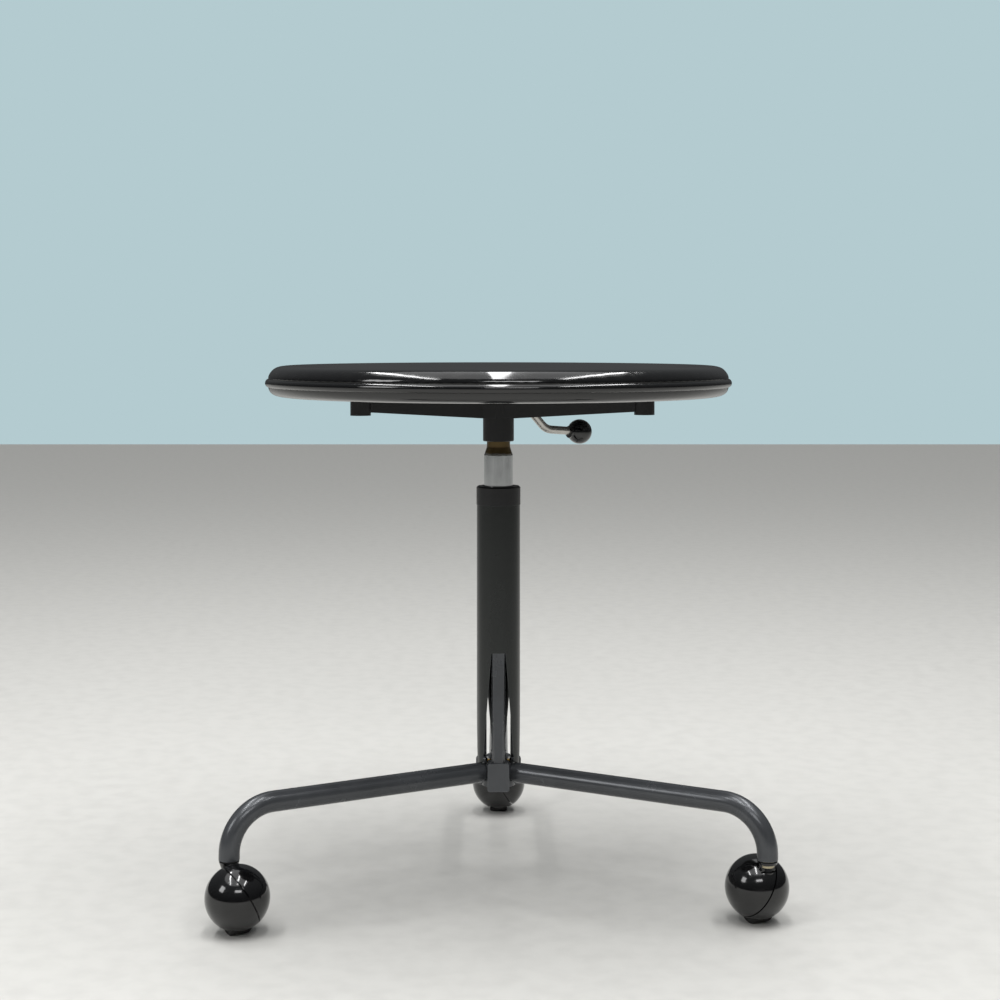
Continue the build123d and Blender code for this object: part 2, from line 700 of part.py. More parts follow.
def axle_boss(frame, side, clearance=0.0):
    """Boss inside the ball beside the roller, trimmed to the ball and to its own side of the split."""
    start = side * (ROLLER_HALF_WIDTH + 1.0 - clearance)
    kept = Keep.TOP if side > 0 else Keep.BOTTOM
    face = SPLIT_OFFSET + side * (SPLIT_GAP / 2 - clearance)
    with BuildPart() as boss:
        with BuildSketch(frame.roller_side.offset(start)):
            Circle(AXLE_BOSS_RADIUS + clearance)
        extrude(amount=side * 10.0)
        with Locations(frame.centre):
            Sphere(BALL_RADIUS - 1.0, mode=Mode.INTERSECT)
        split(bisect_by=frame.split.offset(face), keep=kept)
    return boss.part


def roller_bay(frame):
    """Solid that clears the roller and leaves the slot under the ball, with the axle's bore."""
    with BuildPart() as bay:
        with BuildSketch(frame.roller_side):
            Circle(ROLLER_RADIUS + ROLLER_GAP)
        extrude(amount=ROLLER_HALF_WIDTH + ROLLER_GAP, both=True)
        with BuildSketch(frame.roller_side):
            Circle(AXLE_RADIUS + 0.02)
        extrude(amount=AXLE_HALF_LENGTH, both=True)
    return bay.part


def stem_pocket(frame):
    """Half-round pocket on the side of the stem that faces away from the ball."""
    with BuildPart() as pocket:
        with BuildSketch(frame.stem_level.offset(POCKET_FLOOR)):
            Circle(POCKET_RADIUS)
            with Locations((POCKET_RADIUS - 1.5, 0)):
                Rectangle(2 * POCKET_RADIUS, 2 * POCKET_RADIUS + 1, mode=Mode.SUBTRACT)
        extrude(amount=LEG_END - POCKET_FLOOR)
    return pocket.part


def caster_hood(frame):
    """Upper half of the ball, with the stem's socket, the flared cup round the bush and a boss."""
    with BuildPart() as hood:
        add(ball_shell(frame, SPLIT_OFFSET + SPLIT_GAP / 2, 1))
        add(axle_boss(frame, 1))
        with BuildSketch(frame.stem_profile):
            with BuildLine():
                Polyline(
                    (0, STEM_BOTTOM - 1.5),
                    (SOCKET_WALL_RADIUS, STEM_BOTTOM - 1.5),
                    (SOCKET_WALL_RADIUS, BUSH_BOTTOM - 3.5),
                    (BUSH_NOSE_RADIUS + 1.0, BUSH_BOTTOM - 1.0),
                    (CUP_RADIUS, CUP_TOP - 0.9),
                    (CUP_RADIUS - 0.3, CUP_TOP),
                    (0, CUP_TOP),
                    close=True,
                )
            make_face()
        revolve(axis=frame.stem_axis)
        with BuildSketch(frame.stem_profile):
            with BuildLine():
                Polyline(
                    (0, STEM_BOTTOM),
                    (STEM_RADIUS + 0.02, STEM_BOTTOM),
                    (STEM_RADIUS + 0.02, BUSH_BOTTOM - 0.5),
                    (BUSH_NOSE_RADIUS + 0.35, BUSH_BOTTOM - 0.5),
                    (BUSH_NOSE_RADIUS + 0.35, CUP_TOP),
                    (0, CUP_TOP),
                    close=True,
                )
            make_face()
        revolve(axis=frame.stem_axis, mode=Mode.SUBTRACT)
        add(stem_pocket(frame), mode=Mode.SUBTRACT)
        add(roller_bay(frame), mode=Mode.SUBTRACT)
    return hood


def caster_cover(frame):
    """Lower half of the ball, with a boss and a ring that stands inside the hood's rim."""
    cover_face = SPLIT_OFFSET - SPLIT_GAP / 2
    ring_outer = BALL_RADIUS - BALL_WALL - 0.5
    with BuildPart() as cover:
        add(ball_shell(frame, cover_face, -1))
        with BuildSketch(frame.ball_profile):
            with BuildLine():
                Polyline(
                    (ring_outer - 2.0, cover_face - 4.0),
                    (ring_outer + 0.9, cover_face - 4.0),
                    (ring_outer + 0.9, cover_face),
                    (ring_outer, cover_face),
                    (ring_outer - 0.4, cover_face + SPLIT_GAP + 2.0),
                    (ring_outer - 2.0, cover_face + SPLIT_GAP + 2.0),
                    close=True,
                )
            make_face()
        revolve(axis=frame.pole_axis)
        add(axle_boss(frame, 1, clearance=0.4), mode=Mode.SUBTRACT)
        add(axle_boss(frame, -1))
        with BuildSketch(frame.stem_level.offset(STEM_BOTTOM - 2.5)):
            Circle(SOCKET_WALL_RADIUS + 0.6)
        extrude(amount=CUP_TOP - STEM_BOTTOM, mode=Mode.SUBTRACT)
        add(stem_pocket(frame), mode=Mode.SUBTRACT)
        add(roller_bay(frame), mode=Mode.SUBTRACT)
    return cover


def caster_roller(frame):
    """Roller core with a web and a bore for the axle."""
    half = ROLLER_HALF_WIDTH - 0.4
    bore = AXLE_RADIUS + RUNNING_GAP
    return turned(
        [
            (bore, -half),
            (bore + 2.2, -half),
            (bore + 2.2, -3.0),
            (TYRE_BORE - 2.2, -3.0),
            (TYRE_BORE - 2.2, -half),
            (TYRE_BORE - 0.02, -half),
            (TYRE_BORE - 0.02, half),
            (TYRE_BORE - 2.2, half),
            (TYRE_BORE - 2.2, 3.0),
            (bore + 2.2, 3.0),
            (bore + 2.2, half),
            (bore, half),
        ],
        plane=frame.roller_profile,
        axis=frame.roller_axis,
    )


def caster_tyre(frame):
    """Rubber tyre with eased edges."""
    half = ROLLER_HALF_WIDTH
    ease = 1.0
    return turned(
        [
            (TYRE_BORE, -half),
            (ROLLER_RADIUS - ease, -half),
            (ROLLER_RADIUS, -half + ease),
            (ROLLER_RADIUS, half - ease),
            (ROLLER_RADIUS - ease, half),
            (TYRE_BORE, half),
        ],
        plane=frame.roller_profile,
        axis=frame.roller_axis,
    )


def caster_axle(frame):
    """Level axle, pressed into both halves of the ball."""
    with BuildPart() as axle:
        with BuildSketch(frame.roller_side):
            Circle(AXLE_RADIUS)
        extrude(amount=AXLE_HALF_LENGTH - 0.1, both=True)
    return axle


def caster_stem(frame):
    """Steel stem, pressed into the hood, that turns in the leg's bush."""
    return turned(
        [
            (0, STEM_BOTTOM + 0.05),
            (STEM_RADIUS - 0.5, STEM_BOTTOM + 0.05),
            (STEM_RADIUS, STEM_BOTTOM + 0.6),
            (STEM_RADIUS, GRIP_HEIGHT),
            (STEM_RADIUS - 0.9, GRIP_HEIGHT),
            (STEM_RADIUS - 0.9, GRIP_HEIGHT + 1.6),
            (STEM_RADIUS, GRIP_HEIGHT + 1.6),
            (STEM_RADIUS - 1.2, GRIP_HEIGHT + 3.6),
            (0, GRIP_HEIGHT + 3.6),
        ],
        plane=frame.stem_profile,
        axis=frame.stem_axis,
    )


def caster_grip_ring(frame):
    """Spring ring in the stem's groove that holds the caster above the bush."""
    return turned(
        [
            (STEM_RADIUS - 0.85, GRIP_HEIGHT + 0.1),
            (STEM_RADIUS + 1.3, GRIP_HEIGHT + 0.1),
            (STEM_RADIUS + 1.3, GRIP_HEIGHT + 1.4),
            (STEM_RADIUS - 0.85, GRIP_HEIGHT + 1.4),
        ],
        plane=frame.stem_profile,
        axis=frame.stem_axis,
    )


def stem_bush(frame):
    """Plastic bush pressed into the leg's end, with a round nose below the tube."""
    bore = STEM_RADIUS + RUNNING_GAP
    return turned(
        [
            (bore, BUSH_BOTTOM),
            (BUSH_NOSE_RADIUS - 0.6, BUSH_BOTTOM),
            (BUSH_NOSE_RADIUS, BUSH_BOTTOM + 0.6),
            (BUSH_NOSE_RADIUS, LEG_END + 0.2),
            (LEG_BORE - 0.03, LEG_END + 0.4),
            (LEG_BORE - 0.03, LEG_END + 4.2),
            (BUSH_NOSE_RADIUS, LEG_END + 4.6),
            (BUSH_NOSE_RADIUS, GRIP_HEIGHT - 0.3),
            (bore, GRIP_HEIGHT - 0.3),
        ],
        plane=frame.stem_profile,
        axis=frame.stem_axis,
    )


# ---------------------------------------------------------------- write every node

save(seat_top_shell(), "seat_top_shell")
save(seat_edge_bead(), "seat_edge_bead")
save(seat_bottom_shell(), "seat_bottom_shell")
save(seat_board(), "seat_board")
save(seat_inserts(), "seat_inserts")
save(spider_frame(), "spider_frame")
save(spider_screws(), "spider_screws")
save(lever_rod(), "lever_rod")
save(lever_knob(), "lever_knob")
save(lever_pivot_pin(), "lever_pivot_pin")

save(gas_cylinder(), "gas_cylinder")
save(
    ring(ROD_RADIUS + RUNNING_GAP, CYLINDER_BORE - 0.05, CYLINDER_BOTTOM + 0.5,
         CYLINDER_BOTTOM + GLAND_HEIGHT),
    "cylinder_gland",
)
save(valve_pin(), "valve_pin")
save(piston_rod(), "piston_rod")
save(ring(3.55, PISTON_RADIUS, PISTON_BOTTOM + 0.02, PISTON_TOP), "piston")
save(piston_nut(), "piston_nut")
save(rod_clip(), "rod_clip")

save(column_tube(), "column_tube")
save(column_tongues(), "column_tongues")
save(column_collar(), "column_collar")
save(
    ring(CYLINDER_RADIUS + RUNNING_GAP, TUBE_BORE - 0.06, SLEEVE_BOTTOM, SLEEVE_TOP),
    "guide_sleeve",
)
save(
    ring(ROD_RADIUS + 0.4, BEARING_RADIUS, BEARING_SEAT_HEIGHT + 0.02, BEARING_SEAT_HEIGHT + 1.8),
    "bearing_lower_washer",
)
save(
    ring(ROD_RADIUS + 0.4, BEARING_RADIUS - 0.8, BEARING_SEAT_HEIGHT + 1.85, BEARING_SEAT_HEIGHT + 4.9),
    "bearing_cage",
)
save(
    ring(ROD_RADIUS + 0.05, BEARING_RADIUS, BEARING_SEAT_HEIGHT + 5.2, BEARING_SEAT_HEIGHT + 7.05),
    "bearing_upper_washer",
)

save(base_hub(), "base_hub")
for side, leg_angle in LEG_ANGLES.items():
    caster = CasterFrame(side)
    save(leg(leg_angle), f"leg_{side}")
    save(stem_bush(caster), f"stem_bush_{side}")
    save(caster_stem(caster), f"caster_stem_{side}")
    save(caster_grip_ring(caster), f"caster_grip_ring_{side}")
    save(caster_hood(caster), f"caster_hood_{side}")
    save(caster_cover(caster), f"caster_cover_{side}")
    save(caster_axle(caster), f"caster_axle_{side}")
    save(caster_roller(caster), f"caster_roller_{side}")
    save(caster_tyre(caster), f"caster_tyre_{side}")
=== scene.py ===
import math

import bpy
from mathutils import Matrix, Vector


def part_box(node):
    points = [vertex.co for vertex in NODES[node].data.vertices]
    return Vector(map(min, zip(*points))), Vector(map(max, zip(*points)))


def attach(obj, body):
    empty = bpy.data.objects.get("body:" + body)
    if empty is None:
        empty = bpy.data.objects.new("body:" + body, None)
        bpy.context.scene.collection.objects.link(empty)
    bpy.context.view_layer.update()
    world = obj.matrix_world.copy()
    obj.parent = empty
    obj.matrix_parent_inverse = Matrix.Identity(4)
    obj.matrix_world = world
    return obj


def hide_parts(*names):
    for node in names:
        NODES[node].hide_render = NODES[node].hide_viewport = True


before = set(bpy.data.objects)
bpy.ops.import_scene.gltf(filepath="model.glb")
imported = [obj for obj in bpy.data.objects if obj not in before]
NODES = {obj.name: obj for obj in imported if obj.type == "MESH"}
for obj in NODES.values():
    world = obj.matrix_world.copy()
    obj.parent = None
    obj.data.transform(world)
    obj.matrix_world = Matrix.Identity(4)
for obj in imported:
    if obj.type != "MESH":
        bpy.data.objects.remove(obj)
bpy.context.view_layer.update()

bl_info = {
    "name": "Swivel stool finisher",
    "version": (1, 0, 0),
    "blender": (4, 5, 0),
    "location": "3D View > Sidebar > Stool",
    "description": "Finishes a height-adjustable swivel stool and sets it on a plain studio floor",
    "category": "Object",
}

SIDES = ("left", "right", "rear")

# Places and sizes, in metres unless a name or comment says otherwise
GREASE_LINE = 0.4145  # height where the grease film on the lift's neck starts
GREASE_RAGGED = 0.003  # how far the film's edge wanders up and down
GREASE_FADE = 0.003  # height over which the film thickens
BALL_SCRATCHES = 0.4  # spacing of the marks on a caster ball, as a share of the seat's
SAME_SCREW = 0.03  # vertices nearer than this, seen from above, are on one screw
HEAD_HEIGHT = 0.005
SHANK_RADIUS = 0.00295
SHANK_GAP = 0.0001  # clearance above the shank's tip
SOCKET_RADIUS = 0.0029  # to a corner of the hexagon
SOCKET_DEPTH = 0.003
STRIP_SPACING = 1.1
CAMERA_PLACE = (0.0015, -1.754, 0.530)
LENS_MM = 65.0
SENSOR_MM = 36.0
LENS_SHIFT = -0.165  # share of the sensor's width

# Colour sockets of a Mix node, which share their names with its number sockets
MIX_A, MIX_B, MIX_RESULT = 6, 7, 2


def linear(code):
    """Linear RGBA from an sRGB hex code."""
    channels = [int(code[i:i + 2], 16) / 255 for i in (1, 3, 5)]
    return tuple(c / 12.92 if c <= 0.04045 else ((c + 0.055) / 1.055) ** 2.4 for c in channels) + (1.0,)


# ---------------------------------------------------------------- sizes and colours

class StoolColours(bpy.types.PropertyGroup):
    """Colours a user may change."""
    seat: bpy.props.StringProperty(
        name="Seat", description="Moulded seat, sRGB hex", default="#060607")
    paint: bpy.props.StringProperty(
        name="Leg paint", description="Graphite enamel, sRGB hex", default="#4B4D50")
    column: bpy.props.StringProperty(
        name="Column paint", description="Dark column enamel, sRGB hex", default="#1F2221")
    casting: bpy.props.StringProperty(
        name="Spider", description="Black enamel on the casting, sRGB hex", default="#08090A")
    bush: bpy.props.StringProperty(
        name="Stem bush", description="Natural nylon, sRGB hex", default="#D8CBAA")
    floor: bpy.props.StringProperty(
        name="Floor", description="Studio floor, sRGB hex", default="#C9C8C4")


class StoolSizes(bpy.types.PropertyGroup):
    """Sizes a user may change."""
    scratch: bpy.props.FloatProperty(
        name="Scratch spacing", description="Typical spacing of fine wiping marks on gloss parts",
        default=0.004, min=0.0005, unit="LENGTH")
    ripple: bpy.props.FloatProperty(
        name="Paint orange peel", description="Width of one ripple in the column and leg enamel",
        default=0.0012, min=0.0002, unit="LENGTH")
    grit: bpy.props.FloatProperty(
        name="Casting grain", description="Width of one grain on the cast spider",
        default=0.0008, min=0.0002, unit="LENGTH")
    stage: bpy.props.FloatProperty(
        name="Stage width", description="Width of the studio floor", default=14.0, min=4.0, unit="LENGTH")
    head: bpy.props.FloatProperty(
        name="Screw head", description="Diameter of a spider screw's head",
        default=0.010, min=0.004, unit="LENGTH")


# ---------------------------------------------------------------- material helpers

def node(tree, kind, settings=None, inputs=None):
    """Add one node, set its properties and fill or link its inputs."""
    made = tree.nodes.new(kind)
    for name, value in (settings or {}).items():
        setattr(made, name, value)
    for name, value in (inputs or {}).items():
        if isinstance(value, bpy.types.NodeSocket):
            tree.links.new(value, made.inputs[name])
        else:
            made.inputs[name].default_value = value
    return made


def new_material(name, metallic, roughness, ior=None, **fixed):
    """A material with one shader; the caller links its colour, roughness and bump."""
    mat = bpy.data.materials.new(name)
    mat.use_nodes = True
    tree = mat.node_tree
    shader = tree.nodes["Principled BSDF"]
    shader.inputs["Metallic"].default_value = metallic
    shader.inputs["Roughness"].default_value = roughness
    if ior:
        shader.inputs["IOR"].default_value = ior
    for socket, value in fixed.items():
        shader.inputs[socket.replace("_", " ")].default_value = value
    return mat, tree, shader


def ramp(tree, factor, low, high, start, end):
    """Colour ramp between two colours, with its two stops."""
    made = node(tree, "ShaderNodeValToRGB", inputs={"Fac": factor})
    made.color_ramp.elements[0].position = start
    made.color_ramp.elements[0].color = low
    made.color_ramp.elements[1].position = end
    made.color_ramp.elements[1].color = high
    return made.outputs["Color"]


def spread(tree, factor, low, high):
    """Map a 0 to 1 value onto a span."""
    return node(tree, "ShaderNodeMapRange",
                inputs={"Value": factor, "To Min": low, "To Max": high}).outputs["Result"]


def window(tree, value, start, end):
    """0 at the start value, going to 1 at the end value."""
    return node(tree, "ShaderNodeMapRange",
                inputs={"Value": value, "From Min": start, "From Max": end}).outputs["Result"]


def times(tree, first, second):
    """Product of two values."""
    return node(tree, "ShaderNodeMath", {"operation": "MULTIPLY"}, {0: first, 1: second}).outputs["Value"]


def times_plus(tree, value, factor, added):
    """A value times a factor, plus another value."""
    return node(tree, "ShaderNodeMath", {"operation": "MULTIPLY_ADD"},
                {0: value, 1: factor, 2: added}).outputs["Value"]


def place(tree, scale=(1, 1, 1), turn=(0, 0, 0)):
    """Object coordinates through a mapping."""
    where = node(tree, "ShaderNodeTexCoord").outputs["Object"]
    return node(tree, "ShaderNodeMapping",
                inputs={"Vector": where, "Scale": scale, "Rotation": turn}).outputs["Vector"]


def noise(tree, vector, scale, detail, roughness=0.5):
    """Value of a noise texture."""
    return node(tree, "ShaderNodeTexNoise", inputs={
        "Vector": vector, "Scale": scale, "Detail": detail, "Roughness": roughness}).outputs["Fac"]


def blend(tree, factor, linked, fixed):
    """Mix a linked colour towards a fixed one."""
    mix = node(tree, "ShaderNodeMix", {"data_type": "RGBA"})
    tree.links.new(factor, mix.inputs["Factor"])
    tree.links.new(linked, mix.inputs[MIX_A])
    mix.inputs[MIX_B].default_value = fixed
    return mix.outputs[MIX_RESULT]


def toned(colour, factor):
    """A darker or paler shade of a linear colour."""
    return tuple(c * factor for c in colour[:3]) + (1.0,)


def add_bump(tree, shader, height, strength, distance):
    """Give the shader a fine relief."""
    bump = node(tree, "ShaderNodeBump", inputs={"Height": height, "Strength": strength, "Distance": distance})
    tree.links.new(bump.outputs["Normal"], shader.inputs["Normal"])


def edge_wear(tree, radius):
    """1 on sharp edges, inner ones too, and 0 on open faces."""
    flat = node(tree, "ShaderNodeNewGeometry").outputs["Normal"]
    soft = node(tree, "ShaderNodeBevel", {"samples": 4}, {"Radius": radius}).outputs["Normal"]
    dot = node(tree, "ShaderNodeVectorMath", {"operation": "DOT_PRODUCT"}, {0: flat, 1: soft})
    return window(tree, dot.outputs["Value"], 0.99, 0.86)


# ---------------------------------------------------------------- materials

def wiped_gloss(name, colour, rough, spacing, haze):
    """Glossy moulded plastic. To the eye: deep black, mirror-like highlights, faint wiping marks and dust."""
    mat, tree, shader = new_material(name, metallic=0.0, roughness=rough, ior=1.52,
                                     Coat_Weight=0.25, Coat_Roughness=0.04)
    smudge = noise(tree, place(tree), scale=14.0, detail=5.0, roughness=0.6)
    wiped = place(tree, scale=(0.12, 1, 1), turn=(0, 0, 0.6))
    streak = noise(tree, wiped, scale=1 / spacing, detail=3.0)
    marks = times(tree, smudge, streak)
    rub = window(tree, marks, 0.18, 0.42)
    base = linear(colour)
    dusty = tuple(min(1.0, c + haze) for c in base[:3]) + (1.0,)
    tree.links.new(ramp(tree, marks, base, dusty, 0.28, 0.55), shader.inputs["Base Color"])
    tree.links.new(spread(tree, rub, rough, rough + 0.12), shader.inputs["Roughness"])
    add_bump(tree, shader, smudge, strength=0.05, distance=0.0004)
    return mat


def enamel(name, colour, rough, ripple, wear_colour, metallic=0.25):
    """Sprayed enamel on metal. To the eye: slight orange peel, soft sheen, paler rubbed edges."""
    mat, tree, shader = new_material(name, metallic, rough)
    at = place(tree)
    peel = noise(tree, at, scale=1 / ripple, detail=2.0)
    cloud = noise(tree, at, scale=22.0, detail=6.0, roughness=0.65)
    base = linear(colour)
    coat = ramp(tree, cloud, toned(base, 0.82), toned(base, 1.15), 0.3, 0.7)
    worn = times(tree, edge_wear(tree, 0.0009), cloud)
    tree.links.new(blend(tree, worn, coat, linear(wear_colour)), shader.inputs["Base Color"])
    tree.links.new(spread(tree, cloud, rough - 0.06, rough + 0.1), shader.inputs["Roughness"])
    add_bump(tree, shader, peel, strength=0.12, distance=0.0002)
    return mat


def bright_metal(name, colour, rough, grain, stretch):
    """Plated, ground or blackened metal. To the eye: fine working lines and a slightly uneven tone."""
    mat, tree, shader = new_material(name, 1.0, rough)
    lines = noise(tree, place(tree, stretch), scale=1 / grain, detail=3.0)
    cloud = noise(tree, place(tree), scale=60.0, detail=4.0)
    base = linear(colour)
    tree.links.new(ramp(tree, cloud, toned(base, 0.8), base, 0.25, 0.6), shader.inputs["Base Color"])
    tree.links.new(spread(tree, lines, rough, rough + 0.12), shader.inputs["Roughness"])
    add_bump(tree, shader, lines, strength=0.06, distance=0.0001)
    return mat


def greased_chrome(name, colour, grease_from):
    """Hard chrome with grease on the neck. To the eye: a bright mirror, and a dull brown film above it."""
    mat = bright_metal(name, colour, rough=0.09, grain=0.0008, stretch=(1, 1, 0.05))
    tree = mat.node_tree
    shader = tree.nodes["Principled BSDF"]
    clean = shader.inputs["Base Color"].links[0].from_socket
    rough = shader.inputs["Roughness"].links[0].from_socket
    height = node(tree, "ShaderNodeSeparateXYZ", inputs={"Vector": place(tree)}).outputs["Z"]
    ragged = noise(tree, place(tree), scale=180.0, detail=3.0)
    edge = times_plus(tree, ragged, GREASE_RAGGED, height)
    film = window(tree, edge, grease_from, grease_from + GREASE_FADE)
    tree.links.new(blend(tree, film, clean, linear("#6A5A3E")), shader.inputs["Base Color"])
    tree.links.new(times_plus(tree, film, 0.22, rough), shader.inputs["Roughness"])
    return mat


def soft_polymer(name, colour, rough, grain, ior=1.5, shade=0.8):
    """Moulded nylon, acetal or rubber. To the eye: even and matt, with fine mould grain and cloudy grime."""
    mat, tree, shader = new_material(name, 0.0, rough, ior)
    at = place(tree)
    fine = noise(tree, at, scale=1 / grain, detail=3.0)
    cloud = noise(tree, at, scale=45.0, detail=5.0)
    base = linear(colour)
    tree.links.new(ramp(tree, cloud, toned(base, shade), base, 0.32, 0.6), shader.inputs["Base Color"])
    tree.links.new(spread(tree, cloud, rough - 0.08, rough + 0.08), shader.inputs["Roughness"])
    add_bump(tree, shader, fine, strength=0.15, distance=0.0002)
    return mat


def birch_ply(name):
    """Birch plywood board. To the eye: pale fawn with long grain and darker glue lines at its edge."""
    mat, tree, shader = new_material(name, metallic=0.0, roughness=0.6, ior=1.5)
    rings = node(tree, "ShaderNodeTexWave", {"bands_direction": "Z"},
                 {"Vector": place(tree), "Scale": 110.0, "Distortion": 0.6}).outputs["Fac"]
    grain = noise(tree, place(tree, (1, 14, 1)), scale=40.0, detail=6.0)
    both = times(tree, rings, grain)
    tree.links.new(ramp(tree, both, linear("#8A6A42"), linear("#C7A573"), 0.1, 0.5),
                   shader.inputs["Base Color"])
    add_bump(tree, shader, grain, strength=0.2, distance=0.0003)
    return mat


def finish(material, *names):
    """Give CAD nodes one finish; a missing node stops the script."""
    for name in names:
        mesh = NODES[name].data
        mesh.materials.clear()
        mesh.materials.append(material)


# ---------------------------------------------------------------- stage

def soft_light(context, name, position, target, width, depth, power):
    """Rectangular soft light aimed at a point."""
    data = bpy.data.lights.new(name, "AREA")
    data.shape = "RECTANGLE"
    data.size = width
    data.size_y = depth
    data.energy = power
    lamp = bpy.data.objects.new(name, data)
    lamp.location = position
    lamp.rotation_euler = (Vector(target) - Vector(position)).to_track_quat("-Z", "Y").to_euler()
    context.scene.collection.objects.link(lamp)


def even_light(context, power, width_degrees):
    """Light from straight above, so wide that its shadows are soft."""
    data = bpy.data.lights.new("Even_top_light", "SUN")
    data.energy = power
    data.angle = math.radians(width_degrees)
    lamp = bpy.data.objects.new("Even_top_light", data)
    context.scene.collection.objects.link(lamp)


def studio_camera(context):
    """Level camera in front of the stool, shifted down to frame it."""
    lens = bpy.data.cameras.new("Studio_camera")
    lens.lens = LENS_MM
    lens.sensor_width = SENSOR_MM
    lens.shift_y = LENS_SHIFT
    camera = bpy.data.objects.new("Studio_camera", lens)
    camera.location = CAMERA_PLACE
    camera.rotation_euler = (math.radians(90), 0, 0)
    context.scene.collection.objects.link(camera)
    context.scene.camera = camera


def studio_air(context):
    """Pale backdrop to look at, and a dimmer room, brighter overhead, for the lighting and reflections."""
    world = bpy.data.worlds.new("Soft_studio_air")
    context.scene.world = world
    world.use_nodes = True
    tree = world.node_tree
    tree.nodes.clear()
    height = node(tree, "ShaderNodeSeparateXYZ",
                  inputs={"Vector": node(tree, "ShaderNodeTexCoord").outputs["Generated"]}).outputs["Z"]
    room = ramp(tree, height, linear("#4A4B4C"), linear("#8E9192"), 0.05, 0.9)
    dim = node(tree, "ShaderNodeBackground", inputs={"Color": room, "Strength": 0.9})
    pale = node(tree, "ShaderNodeBackground", inputs={"Color": linear("#B4CBD0"), "Strength": 1.0})
    seen = node(tree, "ShaderNodeLightPath").outputs["Is Camera Ray"]
    mix = node(tree, "ShaderNodeMixShader", inputs={"Fac": seen})
    tree.links.new(dim.outputs["Background"], mix.inputs[1])
    tree.links.new(pale.outputs["Background"], mix.inputs[2])
    out = node(tree, "ShaderNodeOutputWorld")
    tree.links.new(mix.outputs["Shader"], out.inputs["Surface"])


# ---------------------------------------------------------------- screws

def screw_points():
    """Centres of the three screws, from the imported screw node's vertices."""
    spots = []
    for vertex in NODES["spider_screws"].data.vertices:
        flat = Vector((vertex.co.x, vertex.co.y, 0))
        for spot in spots:
            if (spot[0] - flat).length < SAME_SCREW:
                spot.append(flat)
                break
        else:
            spots.append([flat])
    centres = []
    for spot in spots:
        xs, ys = [p.x for p in spot], [p.y for p in spot]
        centres.append(Vector(((min(xs) + max(xs)) / 2, (min(ys) + max(ys)) / 2, 0)))
    return centres


